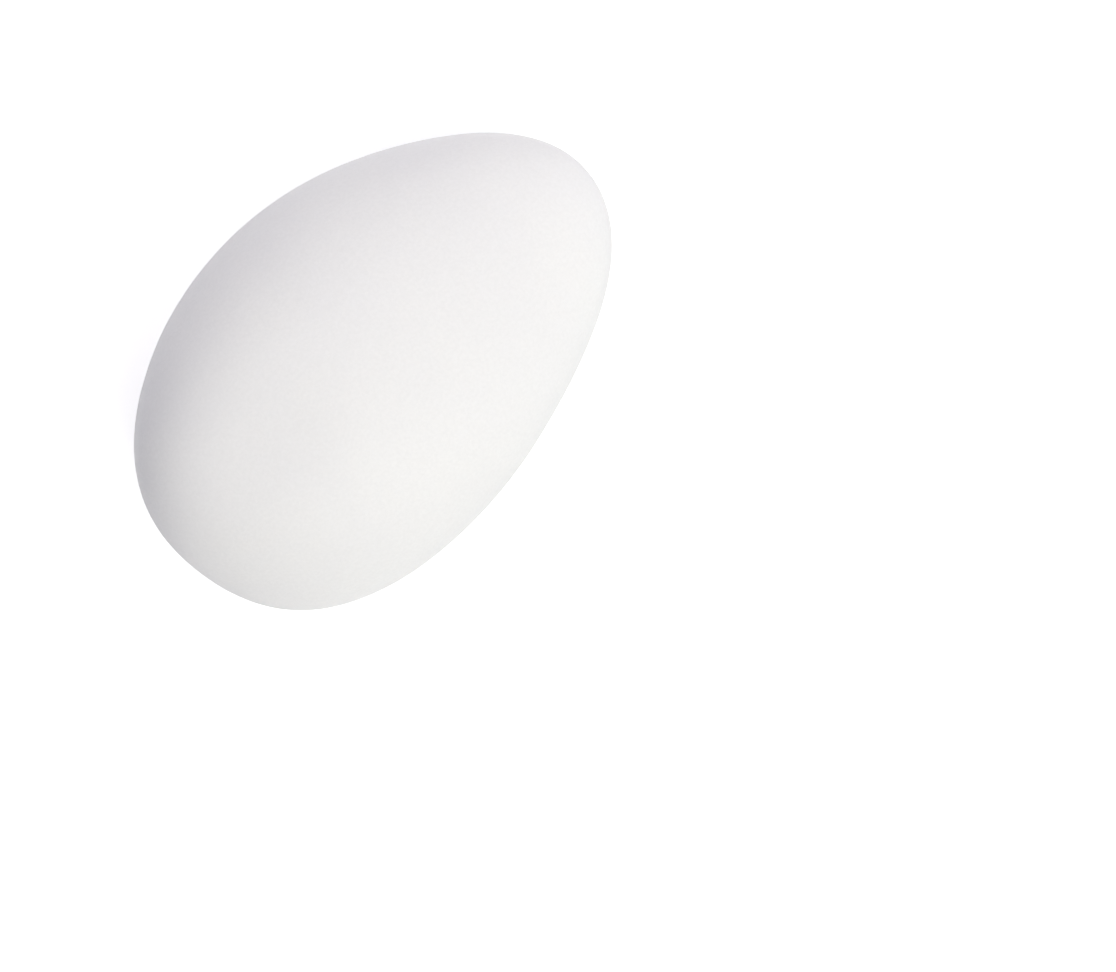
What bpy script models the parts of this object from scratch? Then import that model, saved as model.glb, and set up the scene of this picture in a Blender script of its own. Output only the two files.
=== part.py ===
"""Sugared almond: an almond kernel in a thick, hard, white coat of sugar.

The sweet is one solid and lies on its broad side.  Units are metres and +Z is up.  The origin is
the middle of its footprint, at the height of the surface it lies on.  +X runs along its length
towards the narrow end, and +Z comes out of its upper broad face.
"""

from math import acos, cos, exp, hypot, radians, sin

import bmesh
import bpy
from mathutils import Vector

# Driving dimensions, in metres
LENGTH = 0.0300
WIDTH = 0.0200
THICKNESS = 0.0135
REST_DEPTH = 0.00015  # how far the coat is worn flat where it lies

# Form of the coat
SECTION_POWER = 2.135  # 2 is an oval section, and more fills its shoulders
FACE_TAPER = 0.32  # how much the upper face thins towards the narrow end
UNDER_TAPER = 0.03  # the same for the underside
SPHERE_STEPS = 5  # fineness of the sphere that the coat is shaped from
SHARP_ANGLE = 30  # degrees between two faces, above which their edge is drawn sharp

# Soft swells and hollows of the coat: bearing from +X and rise from the middle plane of the
# place, and its spread, all in degrees, then its height as a share of the radius there
SWELLS = {
    "heel": (167, 42, 36, 0.152),
    "heel shoulder": (-137, 0, 33, 0.138),
    "flat of the right flank": (-64, 0, 36, -0.087),
    "flat of the left flank": (47, 0, 51, -0.120),
    "hollow of the upper face": (177, 58, 18, -0.069),
    "hollow behind the tip": (53, 28, 40, -0.074),
    "swell of the underside": (190, -60, 35, 0.012),
    "hollow of the underside": (15, -50, 28, -0.015),
}

# Finish of the sugar
SUGAR_COLOUR = (0.87, 0.86, 0.84, 1.0)
SUGAR_ROUGHNESS = 0.5


def clear_scene():
    """Remove every object of the scene."""
    for item in list(bpy.data.objects):
        bpy.data.objects.remove(item, do_unlink=True)


def direction(bearing, rise):
    """Unit vector at a bearing from +X and a rise from the middle plane, in degrees."""
    turn = radians(bearing)
    lift = radians(rise)
    return Vector((cos(turn) * cos(lift), sin(turn) * cos(lift), sin(lift)))


def swell_factor(ray):
    """Radius of the coat along a unit ray, as a share of the plain form's radius."""
    factor = 1.0
    for bearing, rise, spread, height in SWELLS.values():
        cosine = max(-1.0, min(1.0, ray.dot(direction(bearing, rise))))
        factor += height * exp(-((acos(cosine) / radians(spread)) ** 2))
    return factor


def section_factor(ray):
    """Fill the shoulders between the rim and the broad faces."""
    rim = hypot(ray.x, ray.y)
    return (rim**SECTION_POWER + abs(ray.z) ** SECTION_POWER) ** (-1 / SECTION_POWER)


def coat_point(ray):
    """Point of the coat along a unit ray, before the form is sized."""
    point = ray * swell_factor(ray) * section_factor(ray)
    upper_share = (1 + ray.z) / 2
    taper = UNDER_TAPER + (FACE_TAPER - UNDER_TAPER) * upper_share
    point.z *= 1 - taper * ray.x
    return point


def fit_to_size(points):
    """Size the form to the driving dimensions, its underside just below z = 0."""
    targets = (
        (-LENGTH / 2, LENGTH / 2),
        (-WIDTH / 2, WIDTH / 2),
        (-REST_DEPTH, THICKNESS),
    )
    for axis, (low, high) in enumerate(targets):
        lowest = min(point[axis] for point in points)
        highest = max(point[axis] for point in points)
        scale = (high - low) / (highest - lowest)
        for point in points:
            point[axis] = low + (point[axis] - lowest) * scale


def flatten_underside(mesh):
    """Cut off what lies below z = 0 and close the cut with one flat face."""
    cut = bmesh.ops.bisect_plane(
        mesh,
        geom=mesh.verts[:] + mesh.edges[:] + mesh.faces[:],
        plane_co=(0, 0, 0),
        plane_no=(0, 0, 1),
        clear_inner=True,
    )
    rim = [item for item in cut["geom_cut"] if isinstance(item, bmesh.types.BMEdge)]
    bmesh.ops.edgenet_fill(mesh, edges=rim)
    bmesh.ops.recalc_face_normals(mesh, faces=mesh.faces)


def sugar_material():
    """Satin white sugar."""
    material = bpy.data.materials.new("sugar_shell")
    material.use_nodes = True
    shader = material.node_tree.nodes["Principled BSDF"]
    shader.inputs["Base Color"].default_value = SUGAR_COLOUR
    shader.inputs["Roughness"].default_value = SUGAR_ROUGHNESS
    shader.inputs["Metallic"].default_value = 0.0
    return material


def build_sweet(collection):
    """The whole sweet, coat and kernel, as one closed solid."""
    form = bmesh.new()
    bmesh.ops.create_icosphere(form, subdivisions=SPHERE_STEPS, radius=1.0)
    points = [coat_point(vertex.co.normalized()) for vertex in form.verts]
    fit_to_size(points)
    for vertex, point in zip(form.verts, points):
        vertex.co = point
    flatten_underside(form)

    data = bpy.data.meshes.new("sugared_almond")
    form.to_mesh(data)
    form.free()
    data.shade_smooth()
    data.set_sharp_from_angle(angle=radians(SHARP_ANGLE))
    data.materials.append(sugar_material())
    sweet = bpy.data.objects.new("sugared_almond", data)
    collection.objects.link(sweet)
    return sweet


def main():
    """Build the sweet in a collection of its own."""
    clear_scene()
    collection = bpy.data.collections.new("sugared_almond")
    bpy.context.scene.collection.children.link(collection)
    build_sweet(collection)


main()
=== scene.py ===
"""Looks of the sugared almond: its satin sugar coat, a white stage, soft light and the camera."""

import random
from math import acos, cos, exp, hypot, radians, sin

import bmesh
import bpy
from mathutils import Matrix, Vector, kdtree, noise


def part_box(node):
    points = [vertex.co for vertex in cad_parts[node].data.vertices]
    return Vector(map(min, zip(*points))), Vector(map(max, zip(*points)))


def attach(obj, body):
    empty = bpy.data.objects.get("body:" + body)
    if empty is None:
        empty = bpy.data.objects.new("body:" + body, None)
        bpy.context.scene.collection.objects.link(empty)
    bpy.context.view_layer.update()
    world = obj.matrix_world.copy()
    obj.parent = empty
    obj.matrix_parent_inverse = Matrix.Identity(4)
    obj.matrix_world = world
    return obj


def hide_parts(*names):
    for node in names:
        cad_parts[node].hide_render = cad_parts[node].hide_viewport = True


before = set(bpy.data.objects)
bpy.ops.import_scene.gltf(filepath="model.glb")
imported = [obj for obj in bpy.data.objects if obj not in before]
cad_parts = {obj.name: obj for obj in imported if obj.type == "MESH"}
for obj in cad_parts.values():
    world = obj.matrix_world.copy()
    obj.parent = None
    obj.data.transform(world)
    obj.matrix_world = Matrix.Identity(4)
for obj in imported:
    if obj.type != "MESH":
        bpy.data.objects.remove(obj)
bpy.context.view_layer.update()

# Form of the coat, as the solid has it
SECTION_POWER = 2.135  # 2 is an oval section, and more fills its shoulders
FACE_TAPER = 0.32  # how much the upper face thins towards the narrow end
UNDER_TAPER = 0.03  # the same for the underside
REST_DEPTH = 0.00015  # how far the coat is worn flat where it lies, in metres

# Soft swells and hollows of the coat: bearing from +X and rise from the middle plane of the
# place, and its spread, all in degrees, then its height as a share of the radius there
SWELLS = {
    "heel": (167, 42, 36, 0.152),
    "heel shoulder": (-137, 0, 33, 0.138),
    "flat of the right flank": (-64, 0, 36, -0.087),
    "flat of the left flank": (47, 0, 51, -0.120),
    "hollow of the upper face": (177, 58, 18, -0.069),
    "hollow behind the tip": (53, 28, 40, -0.074),
    "swell of the underside": (190, -60, 35, 0.012),
    "hollow of the underside": (15, -50, 28, -0.015),
}

# Fine surface of the coat: heights, pitches, radii and depths in metres
SPHERE_STEPS = 7  # fineness of the sphere that the coat is shaped from
UNEVENNESS_HEIGHT = 0.000022  # layers of sugar that took a little unevenly
UNEVENNESS_PITCH = 0.0042
PEEL_HEIGHT = 0.000006  # orange-peel relief left by the tumbling pan
PEEL_PITCH = 0.0012
DIMPLE_COUNT = 60
DIMPLE_RADII = (0.00035, 0.0008)
DIMPLE_DEPTHS = (0.000004, 0.000012)
DIMPLE_SEED = 11

# Sugar: pitches and depths in metres
NOISE_SPAN = (0.3, 0.7)  # range that nearly all values of a noise lie in
CLOUD_PITCH = 0.006
CLOUD_DETAIL = 3.0
CLOUD_COLOURS = ((0.805, 0.792, 0.790), (0.821, 0.808, 0.797))
FLECK_PITCH = 0.00018
FLECK_COLOUR = (0.745, 0.733, 0.728)
FLECK_SHARE = 0.4  # the most that a fleck's colour covers
SATIN_PITCH = 0.0009
SATIN_ROUGHNESS = (0.44, 0.56)
GRAIN_PITCH = 0.0007
GRAIN_DETAIL = 3.0
GRAIN_HARSHNESS = 0.7
GRAIN_DEPTH = 0.000015
SUGAR_REFRACTION = 1.5
SUGAR_SHINE = 0.2
SOAK_SHARE = 0.3  # share of the light that soaks into the sugar
SOAK_DEPTH = 0.0008
SOAK_SHARES = (1.0, 0.95, 0.9)  # shares of that depth that red, green and blue light reach

# Photograph: its size in pixels, its scale, and where the middle of the sweet lies in it
PHOTO_WIDTH = 1116
PHOTO_HEIGHT = 972
PIXELS_PER_METRE = 18640
SWEET_PIXEL = (376.5, 354.5)
SWEET_TURN = 45  # degrees from the photo's right to the sweet's length
LENS = 150  # in millimetres, as the sensor
SENSOR = 36

# Light, by bearing from +X and rise in degrees, power in watts and colour
LIGHTS = {
    "tip side": (0, 35, 0.91, (1.0, 0.97, 0.94)),
    "high far side": (45, 60, 0.77, (1.0, 0.96, 0.99)),
    "low far side": (45, 12, 0.84, (1.0, 0.92, 0.87)),
    "high near side": (-90, 60, 1.49, (0.97, 1.0, 0.87)),
    "near side": (-90, 35, 1.12, (1.0, 0.98, 0.94)),
    "heel side": (180, 60, 0.79, (1.0, 0.87, 0.79)),
}
LIGHT_SIZE = 0.4  # in metres, as the distance
LIGHT_DISTANCE = 0.6
SKY_COLOUR = (0.33, 0.53, 1.0)
SKY_STRENGTH = 0.15

# Stage: a white table whose glow is painted light, which lights the sweet from below and fades
# its
# # shadow, with none under the sweet, which paints a contact shadow there, and more towards the
# # table's rim, where the lights fade; a clear veil of painted light on it, which only the camera
# # sees; and a backdrop round it.  Sizes and heights are in metres.
WHITE = (1.0, 1.0, 1.0)
BLACK = (0.0, 0.0, 0.0)
STAGE_RADIUS = 1.5
FLOOR_HEIGHT = -0.00002
TABLE_COLOUR = (0.8, 0.8, 0.8)
TABLE_ROUGHNESS = 0.8
TABLE_GRAIN_PITCH = 0.0006
TABLE_GRAIN_DEPTH = 0.000002
# Painted light near the sweet: the table's glow there, rising from none under the sweet, which
# paints a contact shadow, up to this strength
NEAR_GLOW = 0.26
PAINTED_SHADOW_REACH = (0.35, 0.85)  # as shares of the sweet's half length and half width
FAR_GLOW = 0.60
FAR_GLOW_REACH = (0.1, 0.8)  # in metres from the sweet's middle
# Painted light: a glow on the table that only the camera sees and that lights nothing, which
# whitens the sweet's shadow
PAINTED_LIGHT_GLOW = 0.21  # faint light over the whole table, which fades the sweet's shadow
VEIL_HEIGHT = -0.00001
BACKDROP_GLOW = 1.05
BACKDROP_SEGMENTS = 48
BACKDROP_RINGS = 24


def direction(bearing, rise):
    """Unit vector at a bearing from +X and a rise from level, in degrees."""
    turn = radians(bearing)
    lift = radians(rise)
    return Vector((cos(turn) * cos(lift), sin(turn) * cos(lift), sin(lift)))


def swell_factor(ray):
    """Radius of the coat along a unit ray, as a share of the plain form's radius."""
    factor = 1.0
    for bearing, rise, spread, height in SWELLS.values():
        cosine = max(-1.0, min(1.0, ray.dot(direction(bearing, rise))))
        factor += height * exp(-((acos(cosine) / radians(spread)) ** 2))
    return factor


def section_factor(ray):
    """Fill the shoulders between the rim and the broad faces."""
    rim = hypot(ray.x, ray.y)
    return (rim**SECTION_POWER + abs(ray.z) ** SECTION_POWER) ** (-1 / SECTION_POWER)


def coat_point(ray):
    """Point of the coat along a unit ray, before the form is sized."""
    point = ray * swell_factor(ray) * section_factor(ray)
    upper_share = (1 + ray.z) / 2
    taper = UNDER_TAPER + (FACE_TAPER - UNDER_TAPER) * upper_share
    point.z *= 1 - taper * ray.x
    return point


def fit_to_box(points, low, high):
    """Stretch points so that they reach from one corner of a box to the other."""
    for axis in range(3):
        lowest = min(point[axis] for point in points)
        highest = max(point[axis] for point in points)
        scale = (high[axis] - low[axis]) / (highest - lowest)
        for point in points:
            point[axis] = low[axis] + (point[axis] - lowest) * scale


def pan_relief(place):
    """Height that panning leaves at a place on the coat, in metres."""
    uneven = UNEVENNESS_HEIGHT * noise.noise(place / UNEVENNESS_PITCH)
    peel = PEEL_HEIGHT * noise.noise(place / PEEL_PITCH)
    return uneven + peel


def dimple_depths(places):
    """Depth of the coat's few shallow dimples at each place, in metres."""
    tree = kdtree.KDTree(len(places))
    for index, place in enumerate(places):
        tree.insert(place, index)
    tree.balance()
    draw = random.Random(DIMPLE_SEED)
    depths = [0.0] * len(places)
    for _ in range(DIMPLE_COUNT):
        centre = places[draw.randrange(len(places))]
        radius = draw.uniform(*DIMPLE_RADII)
        depth = draw.uniform(*DIMPLE_DEPTHS)
        for _place, index, distance in tree.find_range(centre, radius):
            depths[index] += depth * (1 - (distance / radius) ** 2) ** 2
    return depths


def sugar_coat(low, high):
    """The coat's fine mesh in the solid's box, lying on the solid's flat spot."""
    form = bmesh.new()
    bmesh.ops.create_icosphere(form, subdivisions=SPHERE_STEPS, radius=1.0)
    points = [coat_point(vertex.co.normalized()) for vertex in form.verts]
    fit_to_box(points, low - Vector((0, 0, REST_DEPTH)), high)
    for vertex, point in zip(form.verts, points):
        vertex.co = point
    form.normal_update()

    depths = dimple_depths(points)
    for vertex, point, depth in zip(form.verts, points, depths):
        point += vertex.normal * (pan_relief(point) - depth)
        point.z = max(point.z, low.z)
    fit_to_box(points, low, high)
    for vertex, point in zip(form.verts, points):
        vertex.co = point

    data = bpy.data.meshes.new("sugar_coat")
    form.to_mesh(data)
    form.free()
    data.shade_smooth()
    coat = bpy.data.objects.new("sugar_coat", data)
    bpy.context.scene.collection.objects.link(coat)
    return coat


def new_material(name):
    """A material, its node tree and its main shader."""
    material = bpy.data.materials.new(name)
    material.use_nodes = True
    tree = material.node_tree
    return material, tree, tree.nodes["Principled BSDF"]


def add_node(tree, kind, values=None, **settings):
    """Add a shader node, with its settings and the values of its unlinked sockets."""
    node = tree.nodes.new(kind)
    for name, value in settings.items():
        setattr(node, name, value)
    for name, value in (values or {}).items():
        node.inputs[name].default_value = value
    return node


def noise_node(tree, place, pitch, detail=2.0, harshness=0.5):
    """Smooth random value with a pitch in metres."""
    node = add_node(
        tree,
        "ShaderNodeTexNoise",
        {"Scale": 1 / pitch, "Detail": detail, "Roughness": harshness},
    )
    tree.links.new(place, node.inputs["Vector"])
    return node.outputs["Fac"]


def ranged(tree, value, low, high, source=NOISE_SPAN):
    """Bring a value from its source range into the range from low to high."""
    node = add_node(
        tree,
        "ShaderNodeMapRange",
        {"From Min": source[0], "From Max": source[1], "To Min": low, "To Max": high},
    )
    tree.links.new(value, node.inputs["Value"])
    return node.outputs["Result"]


def bumped(tree, height, depth):
    """Bend the normal by a height of 0 to 1 that stands for a depth in metres."""
    node = add_node(tree, "ShaderNodeBump", {"Strength": 1.0, "Distance": depth})
    tree.links.new(height, node.inputs["Height"])
    return node.outputs["Normal"]


def blended(tree, share, colour_a, colour_b):
    """Mix two colours, each a value or a socket, by a share of 0 to 1."""
    node = add_node(tree, "ShaderNodeMix", data_type="RGBA")
    for name, colour in (("A", colour_a), ("B", colour_b)):
        if isinstance(colour, tuple):
            node.inputs[name].default_value = (*colour, 1.0)
        else:
            tree.links.new(colour, node.inputs[name])
    tree.links.new(share, node.inputs["Factor"])
    return node.outputs["Result"]


def distance_node(tree, place):
    """Distance of a place from the middle."""
    node = add_node(tree, "ShaderNodeVectorMath", operation="LENGTH")
    tree.links.new(place, node.inputs["Vector"])
    return node.outputs["Value"]


def sugar_material():
    """Polished panned sugar: satin white, faintly cloudy, with a fine crystal grain."""
    material, tree, shader = new_material("panned_sugar")
    place = add_node(tree, "ShaderNodeTexCoord").outputs["Object"]

    clouds = ranged(tree, noise_node(tree, place, CLOUD_PITCH, CLOUD_DETAIL), 0.0, 1.0)
    sugar = blended(tree, clouds, *CLOUD_COLOURS)
    flecks = ranged(tree, noise_node(tree, place, FLECK_PITCH), 0.0, FLECK_SHARE)
    flecked = blended(tree, flecks, sugar, FLECK_COLOUR)
    tree.links.new(flecked, shader.inputs["Base Color"])

    satin = ranged(tree, noise_node(tree, place, SATIN_PITCH), *SATIN_ROUGHNESS)
    tree.links.new(satin, shader.inputs["Roughness"])

    grain = noise_node(tree, place, GRAIN_PITCH, GRAIN_DETAIL, GRAIN_HARSHNESS)
    tree.links.new(bumped(tree, grain, GRAIN_DEPTH), shader.inputs["Normal"])

    shader.inputs["Metallic"].default_value = 0.0
    shader.inputs["IOR"].default_value = SUGAR_REFRACTION
    shader.inputs["Specular IOR Level"].default_value = SUGAR_SHINE
    shader.inputs["Subsurface Weight"].default_value = SOAK_SHARE
    shader.inputs["Subsurface Radius"].default_value = SOAK_SHARES
    shader.inputs["Subsurface Scale"].default_value = SOAK_DEPTH
    return material


def table_glow_and_painted_shadow(tree, place, sweet_high):
    """Strength of the table's glow, painted light that fades the sweet's shadow: none under the
    sweet, which paints a contact shadow there, and more towards the rim.
    """
    from_sweet = add_node(tree, "ShaderNodeVectorMath", operation="DIVIDE")
    tree.links.new(place, from_sweet.inputs[0])
    from_sweet.inputs[1].default_value = (sweet_high.x, sweet_high.y, 1.0)
    share = distance_node(tree, from_sweet.outputs["Vector"])
    # Painted contact shadow: the glow fades to none under the sweet
    near_glow_and_painted_shadow = ranged(tree, share, 0.0, NEAR_GLOW, PAINTED_SHADOW_REACH)
    far_glow = ranged(tree, distance_node(tree, place), 0.0, FAR_GLOW, FAR_GLOW_REACH)
    glow = add_node(tree, "ShaderNodeMath", operation="ADD")
    tree.links.new(near_glow_and_painted_shadow, glow.inputs[0])
    tree.links.new(far_glow, glow.inputs[1])
    return glow.outputs["Value"]


def table_material(sweet_high):
    """Dull white table top whose faint glow round the sweet is painted light, left out under the
    sweet as a painted contact shadow.
    """
    material, tree, shader = new_material("white_table_with_painted_shadow")
    place = add_node(tree, "ShaderNodeTexCoord").outputs["Object"]
    grain = bumped(tree, noise_node(tree, place, TABLE_GRAIN_PITCH), TABLE_GRAIN_DEPTH)
    tree.links.new(grain, shader.inputs["Normal"])
    glow = table_glow_and_painted_shadow(tree, place, sweet_high)
    tree.links.new(glow, shader.inputs["Emission Strength"])
    shader.inputs["Emission Color"].default_value = (*WHITE, 1.0)
    shader.inputs["Base Color"].default_value = (*TABLE_COLOUR, 1.0)
    shader.inputs["Roughness"].default_value = TABLE_ROUGHNESS
    return material


def painted_light_veil_material():
    """Clear, with a faint white glow of painted light."""
    material, tree, _shader = new_material("painted_light_veil")
    glow = add_node(tree, "ShaderNodeEmission", {"Strength": PAINTED_LIGHT_GLOW})
    clear = add_node(tree, "ShaderNodeBsdfTransparent")
    both = add_node(tree, "ShaderNodeAddShader")
    tree.links.new(glow.outputs["Emission"], both.inputs[0])
    tree.links.new(clear.outputs["BSDF"], both.inputs[1])
    tree.links.new(both.outputs["Shader"], tree.nodes["Material Output"].inputs["Surface"])
    return material


def backdrop_material():
    """White that only glows."""
    material, _tree, shader = new_material("white_backdrop")
    shader.inputs["Base Color"].default_value = (*BLACK, 1.0)
    shader.inputs["Emission Color"].default_value = (*WHITE, 1.0)
    shader.inputs["Emission Strength"].default_value = BACKDROP_GLOW
    return material


def level_sheet(name, height):
    """Wide square sheet, level at a height in metres."""
    bpy.ops.mesh.primitive_plane_add(size=2 * STAGE_RADIUS, location=(0, 0, height))
    sheet = bpy.context.object
    sheet.name = name
    return sheet


def show_to_camera_only(item):
    """Keep a stage piece from lighting or shading anything and out of reflections."""
    for rays in ("diffuse", "glossy", "transmission", "volume_scatter", "shadow"):
        setattr(item, f"visible_{rays}", False)


def pale_floor(sweet_high):
    """White table top that the sweet lies on."""
    floor = level_sheet("floor", FLOOR_HEIGHT)
    floor.data.materials.append(table_material(sweet_high))


def painted_light_veil():
    """Clear sheet of painted light on the table, seen only by the camera, which fades the sweet's
    shadow.
    """
    veil = level_sheet("veil", VEIL_HEIGHT)
    show_to_camera_only(veil)
    veil.data.materials.append(painted_light_veil_material())


def white_backdrop():
    """White dome round the table, which shows behind the sweet but casts no light on it."""
    dome = bmesh.new()
    bmesh.ops.create_uvsphere(
        dome,
        u_segments=BACKDROP_SEGMENTS,
        v_segments=BACKDROP_RINGS,
        radius=STAGE_RADIUS,
    )
    data = bpy.data.meshes.new("backdrop")
    dome.to_mesh(data)
    dome.free()
    data.materials.append(backdrop_material())
    backdrop = bpy.data.objects.new("backdrop", data)
    bpy.context.scene.collection.objects.link(backdrop)
    show_to_camera_only(backdrop)


def soft_lights(target):
    """Large soft lights that face the sweet."""
    for name, (bearing, rise, power, colour) in LIGHTS.items():
        lamp = bpy.data.lights.new(name, "AREA")
        lamp.shape = "DISK"
        lamp.size = LIGHT_SIZE
        lamp.energy = power
        lamp.color = colour
        light = bpy.data.objects.new(name, lamp)
        away = direction(bearing, rise)
        light.location = target + away * LIGHT_DISTANCE
        light.rotation_euler = away.to_track_quat("Z", "Y").to_euler()
        light.visible_camera = False
        bpy.context.scene.collection.objects.link(light)


def cool_sky():
    """Cool pale light from all round."""
    sky = bpy.data.worlds.new("sky")
    sky.use_nodes = True
    background = sky.node_tree.nodes["Background"]
    background.inputs["Color"].default_value = (*SKY_COLOUR, 1.0)
    background.inputs["Strength"].default_value = SKY_STRENGTH
    bpy.context.scene.world = sky


def photo_camera(target):
    """Look straight down, turned and placed so that the sweet lies as in the photograph."""
    data = bpy.data.cameras.new("camera")
    data.lens = LENS
    data.sensor_width = SENSOR
    camera = bpy.data.objects.new("camera", data)
    bpy.context.scene.collection.objects.link(camera)

    photo_right = direction(-SWEET_TURN, 0)
    photo_up = direction(90 - SWEET_TURN, 0)
    to_right = (PHOTO_WIDTH / 2 - SWEET_PIXEL[0]) / PIXELS_PER_METRE
    to_top = (SWEET_PIXEL[1] - PHOTO_HEIGHT / 2) / PIXELS_PER_METRE
    height = LENS / SENSOR * PHOTO_WIDTH / PIXELS_PER_METRE
    above = Vector((0, 0, height))
    camera.location = target + photo_right * to_right + photo_up * to_top + above
    camera.rotation_euler = (0, 0, radians(-SWEET_TURN))
    bpy.context.scene.camera = camera


def main():
    """Dress the sweet, then light and frame it."""
    low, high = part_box("sugared_almond")
    middle = (low + high) / 2
    coat = sugar_coat(low, high)
    coat.data.materials.append(sugar_material())
    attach(coat, "root")
    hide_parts("sugared_almond")

    pale_floor(high)
    painted_light_veil()
    white_backdrop()
    soft_lights(middle)
    cool_sky()
    photo_camera(middle)
    bpy.context.scene.view_settings.view_transform = "Standard"


main()
